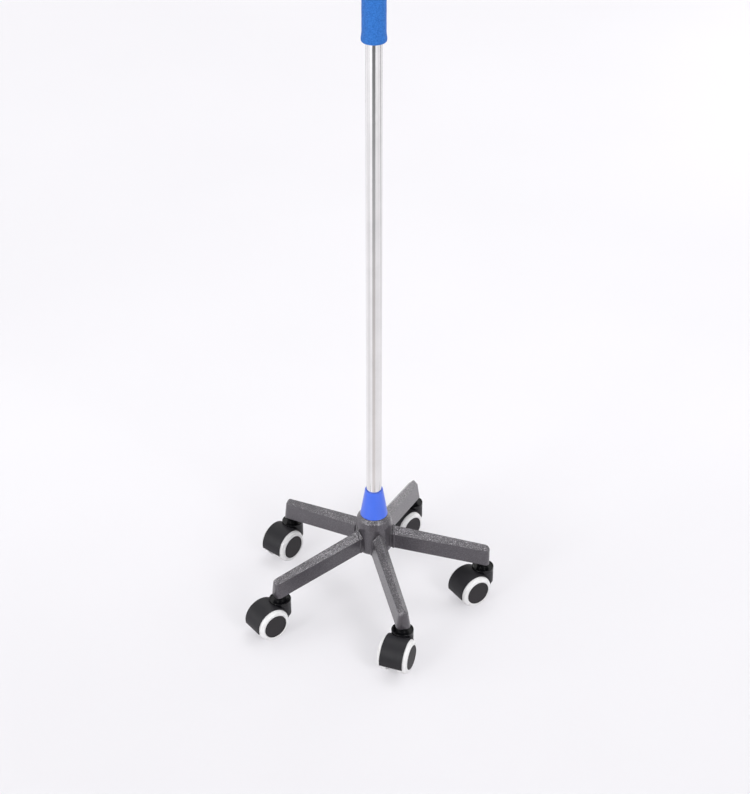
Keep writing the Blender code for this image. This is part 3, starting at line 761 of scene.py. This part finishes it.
def make_clamp():
    """Grooved clamp body with a boss, the threaded liner in it, the pressure pad and the knob."""
    low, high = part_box("clamp_collar")[0].z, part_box("clamp_collar")[1].z
    screw = Vector(joints["clamp_knob_turn"]["pos_m"])
    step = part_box("outer_tube")[1].z + 0.3 * MM
    radius, tube_bore, rod_bore = 18.0 * MM, 13.0 * MM, 9.8 * MM
    outline = rounded([
        (tube_bore, low, 0.4 * MM),
        (17.2 * MM, low, 0.8 * MM),
        (radius, low + 2.5 * MM, 1.0 * MM),
        (radius, high - 6.0 * MM, 3.0 * MM),
        (14.0 * MM, high, 1.5 * MM),
        (rod_bore, high, 0.6 * MM),
        (rod_bore, step, 0.2 * MM),
        (tube_bore, step, 0.2 * MM),
    ])
    mesh = revolved("clamp", outline, BLUE, 96)
    height = screw.z
    boss = bar((15 * MM, 0, height), (31 * MM, 0, height), 9.5 * MM, 64)
    mesh = combined(mesh, [boss], "UNION")
    bore = bar((5 * MM, 0, height), (40 * MM, 0, height), 4.6 * MM, 48)
    grooves = []
    groove_circle, beside_boss = 19.3 * MM, 0.3
    for k in range(12):
        angle = math.tau * (k + 0.5) / 12
        if abs(math.sin(angle / 2)) < beside_boss:
            continue
        x, y = groove_circle * math.cos(angle), groove_circle * math.sin(angle)
        grooves.append(bar((x, y, low + 6 * MM), (x, y, high - 10 * MM), 2.2 * MM, 24))
    mesh = combined(mesh, [bore, *grooves], "DIFFERENCE")
    piece("clamp_body", mesh, on_column(), "stand", ("clamp_collar",), 0.3 * MM, 50.0)
    liner = revolved("liner", rounded([
        (4.35 * MM, 18.0 * MM, 0.1 * MM), (4.6 * MM, 18.0 * MM, 0.1 * MM), (4.6 * MM, 30.6 * MM, 0.0),
        (6.4 * MM, 30.6 * MM, 0.2 * MM), (6.4 * MM, 31.6 * MM, 0.3 * MM),
        (4.35 * MM, 31.6 * MM, 0.3 * MM)]),
        ZINC, 48)
    along_x = Matrix.Rotation(math.radians(90), 4, "Y")
    at_screw = on_column(height) @ along_x
    piece("clamp_liner", liner, at_screw, "stand")

    low_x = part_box("clamp_pad")[0].x - COLUMN.x
    high_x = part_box("clamp_pad")[1].x - COLUMN.x
    pad = revolved("pad", rounded([
        (0.0, low_x, 0.0), (3.8 * MM, low_x, 0.4 * MM), (3.8 * MM, high_x, 0.4 * MM),
        (0.0, high_x, 0.0)]),
        NATURAL, 48)
    piece("pressure_pad", pad, at_screw, "clamp_pad", ("clamp_pad",))
    make_knob(at_screw, high_x + 0.3 * MM)


def make_knob(at_screw, tip):
    """Five-lobed knob moulded on a steel screw with a thread of turned rings."""
    lobes = 5
    count = 120
    # Place along the screw, mean radius and height of the lobes, in mm
    stations = [
        (32.9, 8.1, 0.0), (33.2, 8.6, 0.0), (37.2, 9.0, 0.0), (37.7, 10.2, 0.2), (37.9, 14.6, 1.5),
        (38.3, 16.2, 2.0), (39.2, 17.0, 2.25), (40.5, 17.2, 2.3), (45.4, 17.2, 2.3), (46.8, 17.0, 2.2),
        (47.9, 16.2, 2.0), (48.7, 14.6, 1.6), (49.1, 12.4, 1.1), (49.2, 9.6, 0.3), (49.2, 9.1, 0.0),
        (48.5, 8.6, 0.0), (48.4, 0.02, 0.0)]
    loops = []
    for place, mean, height in stations:
        loop = []
        for index in range(count):
            angle = math.tau * index / count
            radius = (mean + height * math.cos(lobes * angle)) * MM
            loop.append((radius * math.cos(angle), radius * math.sin(angle), place * MM))
        loops.append(loop)
    knob = lofted("knob", loops, NYLON, 50.0)
    piece("knob_grip", knob, at_screw, "clamp_knob", ("clamp_knob",))
    pitch = 1.25 * MM
    core, crest = 3.4 * MM, 3.95 * MM
    outline = [(0.0, tip), (core - 0.4 * MM, tip), (core, tip + 0.6 * MM)]
    place = tip + 0.8 * MM
    thread_end, screw_end = 32.4 * MM, 33.4 * MM
    while place < thread_end:
        outline += [(core, place), (crest, place + pitch * 0.4), (crest, place + pitch * 0.55)]
        place += pitch
    outline += [(core, screw_end), (0.0, screw_end)]
    piece("knob_screw", revolved("screw", outline, ZINC, 48, 25.0), at_screw, "clamp_knob")


# ---------------------------------------------------------------- sliding rod


def make_mast():
    """The sliding rod, the guide in its foot, and the turned head that carries the hooks."""
    low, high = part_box("sliding_rod")[0].z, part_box("sliding_rod")[1].z
    radius, bore = 9.5 * MM, 8.5 * MM
    outline = rounded([
        (bore, low, 0.2 * MM), (radius, low, 0.3 * MM), (radius, high, 0.3 * MM),
        (bore, high, 0.2 * MM)])
    piece("mast_rod", revolved("rod", outline, STEEL, 96), on_column(), "mast",
          ("sliding_rod",))

    low_guide, high_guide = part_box("rod_guide")[0].z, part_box("rod_guide")[1].z
    spigot, flange_radius, flange_top = 8.2 * MM, 11.1 * MM, low - 0.3 * MM
    outline = rounded([
        (0.0, low_guide, 0.0), (10.6 * MM, low_guide, 1.2 * MM),
        (flange_radius, low_guide + 2 * MM, 0.5 * MM), (flange_radius, flange_top, 0.4 * MM),
        (spigot, flange_top, 0.2 * MM), (spigot, high_guide, 0.6 * MM), (0.0, high_guide, 0.0)])
    piece("mast_guide", revolved("guide", outline, NATURAL, 64), on_column(), "mast",
          ("rod_guide",))

    low_boss, high_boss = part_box("hook_boss")[0].z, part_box("hook_boss")[1].z
    step = high + 0.3 * MM
    outline = rounded([
        (0.0, low_boss, 0.0), (spigot, low_boss, 0.5 * MM), (spigot, step, 0.2 * MM),
        (13.0 * MM, step, 0.8 * MM), (13.0 * MM, high_boss - 5.5 * MM, 1.0 * MM),
        (12.4 * MM, high_boss - 4.9 * MM, 0.3 * MM), (12.4 * MM, high_boss - 4.3 * MM, 0.3 * MM),
        (12.8 * MM, high_boss - 3.8 * MM, 0.5 * MM), (9.8 * MM, high_boss - 1.2 * MM, 4.0 * MM),
        (0.0, high_boss, 0.0)], 5)
    piece("mast_head", revolved("head", outline, WIRE_STEEL, 96), on_column(), "mast",
          ("hook_boss",))
    make_hooks()


def hook_line():
    """Centre line of a hook along +X as (outward, up, radius), in mm above the arm's root."""
    slope = math.radians(-6.0)
    start, arm, bend, wire = 12.2, 76.1, 15.0, 3.2
    end = (start + arm * math.cos(slope), arm * math.sin(slope))
    centre = (end[0] - bend * math.sin(slope), end[1] + bend * math.cos(slope))
    path = [
        (start + arm * k / 8 * math.cos(slope), arm * k / 8 * math.sin(slope), wire) for k in range(8)]
    curve = arc(centre, bend, -96.0, 15.0, 22)
    path += [(out, up, wire) for out, up in curve]
    heading = math.radians(105.0)
    # Distance past the bend and radius, ending in a round knob
    ball = [(3.0, 3.2), (6.0, 3.2), (7.6, 3.25), (8.4, 3.5), (9.3, 4.1), (10.4, 4.6), (11.6, 4.8),
            (12.8, 4.75), (14.0, 4.4), (15.0, 3.8), (15.8, 2.9), (16.3, 1.9), (16.6, 0.6)]
    out, up = curve[-1]
    path += [(out + ahead * math.cos(heading), up + ahead * math.sin(heading), radius)
             for ahead, radius in ball]
    return path


def make_hooks():
    """Four hooks of bent round bar, a quarter turn apart."""
    root = 1461.0 * MM
    quarter = math.pi / 2
    path = hook_line()
    for number in range(1, 5):
        low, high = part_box(f"hook_{number}")
        outward = (low + high) / 2 - COLUMN
        turn = math.atan2(outward.y, outward.x)
        loops = []
        for index, (out, up, radius) in enumerate(path):
            before, after = path[max(index - 1, 0)], path[min(index + 1, len(path) - 1)]
            along = Vector((after[0] - before[0], 0, after[1] - before[1])).normalized()
            upward = along.cross(Vector((0, -1, 0)))
            loop = []
            for side in range(20):
                angle = math.tau * side / 20
                ring = Vector((0, 1, 0)) * math.cos(angle) + upward * math.sin(angle)
                loop.append((Vector((out, 0, up)) + ring * radius) * MM)
            loops.append(loop)
        mesh = lofted("hook", loops, WIRE_STEEL, 60.0)
        place = on_column(root) @ Matrix.Rotation(round(turn / quarter) * quarter, 4, "Z")
        piece(f"hook_{number}_wire", mesh, place, "mast", (f"hook_{number}",))


# ---------------------------------------------------------------- floor, light, camera


def flat_sheet(name, corners, material):
    """A level sheet of the stage."""
    shape = bmesh.new()
    shape.faces.new([shape.verts.new((x, y, 0.0)) for x, y in corners])
    sheet = bpy.data.objects.new(name, to_mesh(name, shape, material))
    bpy.context.scene.collection.objects.link(sheet)
    return sheet


def make_floor():
    """Pale matt floor with painted light: it glows a little, so that the shadows on it stay weak."""
    material, tree, shader, coords = surface("floor", Roughness=0.7)
    shader.inputs["Specular IOR Level"].default_value = 0.0
    cloud = noise(tree, coords, 1.3, 2.0)
    tree.links.new(ramp(tree, cloud, [(0.3, (0.41, 0.404, 0.42)), (0.7, (0.43, 0.424, 0.44))]),
                   shader.inputs["Base Color"])
    place = node(tree, "ShaderNodeSeparateXYZ", Vector=coords)
    distance = node(tree, "ShaderNodeVectorMath", {"operation": "LENGTH"})
    tree.links.new(coords, distance.inputs[0])
    behind = 6.0
    near_to_far = node(tree, "ShaderNodeMapRange", {
        "From Min": 1.5, "From Max": 5.0, "To Max": behind}, Value=distance.outputs["Value"])
    tree.links.new(place.outputs["Y"], near_to_far.inputs["To Min"])
    depth = node(tree, "ShaderNodeMapRange", {"From Min": -behind, "From Max": behind},
                 Value=near_to_far.outputs[0])
    # Painted light and shade: the glow is dimmer in front of the stand, rises behind it, and is strongest
    # far away on every side
    glow = [(-0.5, 0.35), (0.5, 0.47), (behind, 0.6)]
    painted_glow_colours = [((y + behind) / (2 * behind), (level, 0.985 * level, 1.02 * level)) for y, level in glow]
    tree.links.new(ramp(tree, depth.outputs[0], painted_glow_colours), shader.inputs["Emission Color"])
    shader.inputs["Emission Strength"].default_value = 1.0
    reach = 40.0
    flat_sheet("floor", [(-reach, -reach), (reach, -reach), (reach, reach), (-reach, reach)], material)


NEAR_CARDS = (0.25, 3.4)
RIM_CARDS = (3.2, 20.0)


def dark_card(name, directions, distances, stops, tones):
    """A wedge on the floor, seen only in polished surfaces; cover and tone follow the distance."""
    material = bpy.data.materials.new(name)
    material.use_nodes = True
    tree = material.node_tree
    tree.nodes.clear()
    coords = node(tree, "ShaderNodeTexCoord").outputs["Object"]
    reach = node(tree, "ShaderNodeVectorMath", {"operation": "LENGTH"})
    tree.links.new(coords, reach.inputs[0])
    along = node(tree, "ShaderNodeMapRange", {"From Min": 0.25, "From Max": 2.6},
                 Value=reach.outputs["Value"])
    cover = ramp(tree, along.outputs[0], stops)
    clear = node(tree, "ShaderNodeBsdfTransparent")
    dark = node(tree, "ShaderNodeEmission", Color=ramp(tree, along.outputs[0], tones))
    mixed = node(tree, "ShaderNodeMixShader", Fac=cover)
    tree.links.new(clear.outputs[0], mixed.inputs[1])
    tree.links.new(dark.outputs[0], mixed.inputs[2])
    out = node(tree, "ShaderNodeOutputMaterial")
    tree.links.new(mixed.outputs[0], out.inputs["Surface"])
    first, last = (math.radians(direction) for direction in directions)
    near, far = distances
    corners = [
        (distance * math.cos(angle), distance * math.sin(angle))
        for distance, angle in ((near, first), (near, last), (far, last), (far, first))]
    card = flat_sheet(name, corners, material)
    card.location = (COLUMN.x, COLUMN.y, 1 * MM)
    card.visible_camera = False
    card.visible_diffuse = False
    card.visible_shadow = False
    card.visible_transmission = False


def make_cards():
    """Dark wedges round the stand: they draw the dark streaks along the polished tube and rod."""
    # Painted reflection: near the stand the front card glows a dim warm brown, which the polished tube
    # mirrors as a brownish tint
    warm_to_dark = [(0.0, (0.25, 0.13, 0.07)), (0.5, (0.05, 0.05, 0.05))]
    grey = [(0.0, (0.2, 0.15, 0.13)), (0.4, (0.08, 0.07, 0.07))]
    front = [(0.0, 0.25), (1.0, 0.9)]
    middling = [(0.0, 0.1), (1.0, 0.6)]
    faint = [(0.0, 0.1), (1.0, 0.2)]
    strong = [(0.0, 0.3), (0.5, 0.65), (1.0, 0.75)]
    dark_card("front_card", (-114.0, -70.0), NEAR_CARDS, front, warm_to_dark)
    dark_card("right_card", (0.0, 17.0), NEAR_CARDS, middling, grey)
    dark_card("far_right_card", (17.0, 60.0), NEAR_CARDS, faint, grey)
    dark_card("near_right_card", (-66.0, -8.0), NEAR_CARDS, faint, grey)
    dark_card("back_right_card", (62.0, 76.0), NEAR_CARDS, strong, grey)
    dark_card("back_left_card", (104.0, 119.0), NEAR_CARDS, strong, grey)
    for number in range(5):
        first = 72.0 * number - 105.0
        dark_card(f"rim_card_{number}", (first, first + 30.0), RIM_CARDS, [(0.0, 0.0), (1.0, 0.82)], grey)
    dark_card("left_card", (158.0, 215.0), NEAR_CARDS, faint, grey)


def make_world():
    """Pale surroundings that light the stand a little less from the front (-Y)."""
    world = bpy.data.worlds.new("surroundings")
    bpy.context.scene.world = world
    world.use_nodes = True
    tree = world.node_tree
    tree.nodes.clear()
    coords = node(tree, "ShaderNodeTexCoord").outputs["Generated"]
    axes = node(tree, "ShaderNodeSeparateXYZ", Vector=coords)
    toward = node(tree, "ShaderNodeMath", {"operation": "MULTIPLY_ADD", 1: 0.5, 2: 0.5})
    tree.links.new(axes.outputs["Y"], toward.inputs[0])
    lit = ramp(tree, toward.outputs[0], [(0.04, 0.62), (0.28, 0.8), (0.5, 0.95)])
    seen = node(tree, "ShaderNodeBackground", {"Color": (0.94, 0.935, 0.965, 1.0), "Strength": 1.0})
    light = node(tree, "ShaderNodeBackground", {"Strength": 0.85}, Color=lit)
    path = node(tree, "ShaderNodeLightPath")
    mixed = node(tree, "ShaderNodeMixShader", Fac=path.outputs["Is Camera Ray"])
    tree.links.new(light.outputs[0], mixed.inputs[1])
    tree.links.new(seen.outputs[0], mixed.inputs[2])
    out = node(tree, "ShaderNodeOutputWorld")
    tree.links.new(mixed.outputs[0], out.inputs["Surface"])


def area_light(name, place, target_height, size, power):
    """A rectangular lamp aimed at a point on the stand's axis."""
    light = bpy.data.lights.new(name, "AREA")
    light.shape = "RECTANGLE"
    light.size, light.size_y = size
    light.energy = power
    lamp = bpy.data.objects.new(name, light)
    bpy.context.scene.collection.objects.link(lamp)
    lamp.location = place
    target = Vector((0, 0, target_height))
    lamp.rotation_euler = (target - Vector(place)).to_track_quat("-Z", "Y").to_euler()


def make_lights():
    """Soft boxes: two in front, one at the left, one behind, and a wide one overhead."""
    area_light("right_box", (1.55, -2.15, 1.5), 0.15, (0.9, 1.2), 34.0)
    area_light("left_box", (-1.95, -1.95, 1.35), 0.15, (0.8, 1.1), 26.0)
    area_light("left_window", (-3.0, -0.5, 0.9), 0.15, (1.6, 1.5), 16.0)
    area_light("back_window", (2.2, 2.2, 0.8), 0.15, (1.4, 1.3), 11.0)
    area_light("top_box", (0.4, 1.2, 3.0), 0.2, (2.0, 1.4), 22.0)


def make_camera():
    """Looks along +Y and down at the column from in front of it."""
    pitch = math.radians(32.98)
    back, height = 2.684, 2.1415
    # Focal length, longer side and shift of a picture of 750 by 794 pixels
    focal, long_side, middle_x = 1955.0, 794.0, 1.0
    camera = bpy.data.cameras.new("camera")
    camera.sensor_width = 36.0
    camera.lens = focal * camera.sensor_width / long_side
    camera.shift_x = middle_x / long_side
    camera.clip_end = 60.0
    holder = bpy.data.objects.new("camera", camera)
    bpy.context.scene.collection.objects.link(holder)
    holder.location = (COLUMN.x, COLUMN.y - back, height)
    holder.rotation_euler = (math.radians(90) - pitch, 0, 0)
    bpy.context.scene.camera = holder


make_legs()
make_hub()
make_casters()
make_column()
make_clamp()
make_mast()
make_floor()
make_cards()
make_world()
make_lights()
make_camera()
bpy.context.scene.view_settings.view_transform = "Standard"
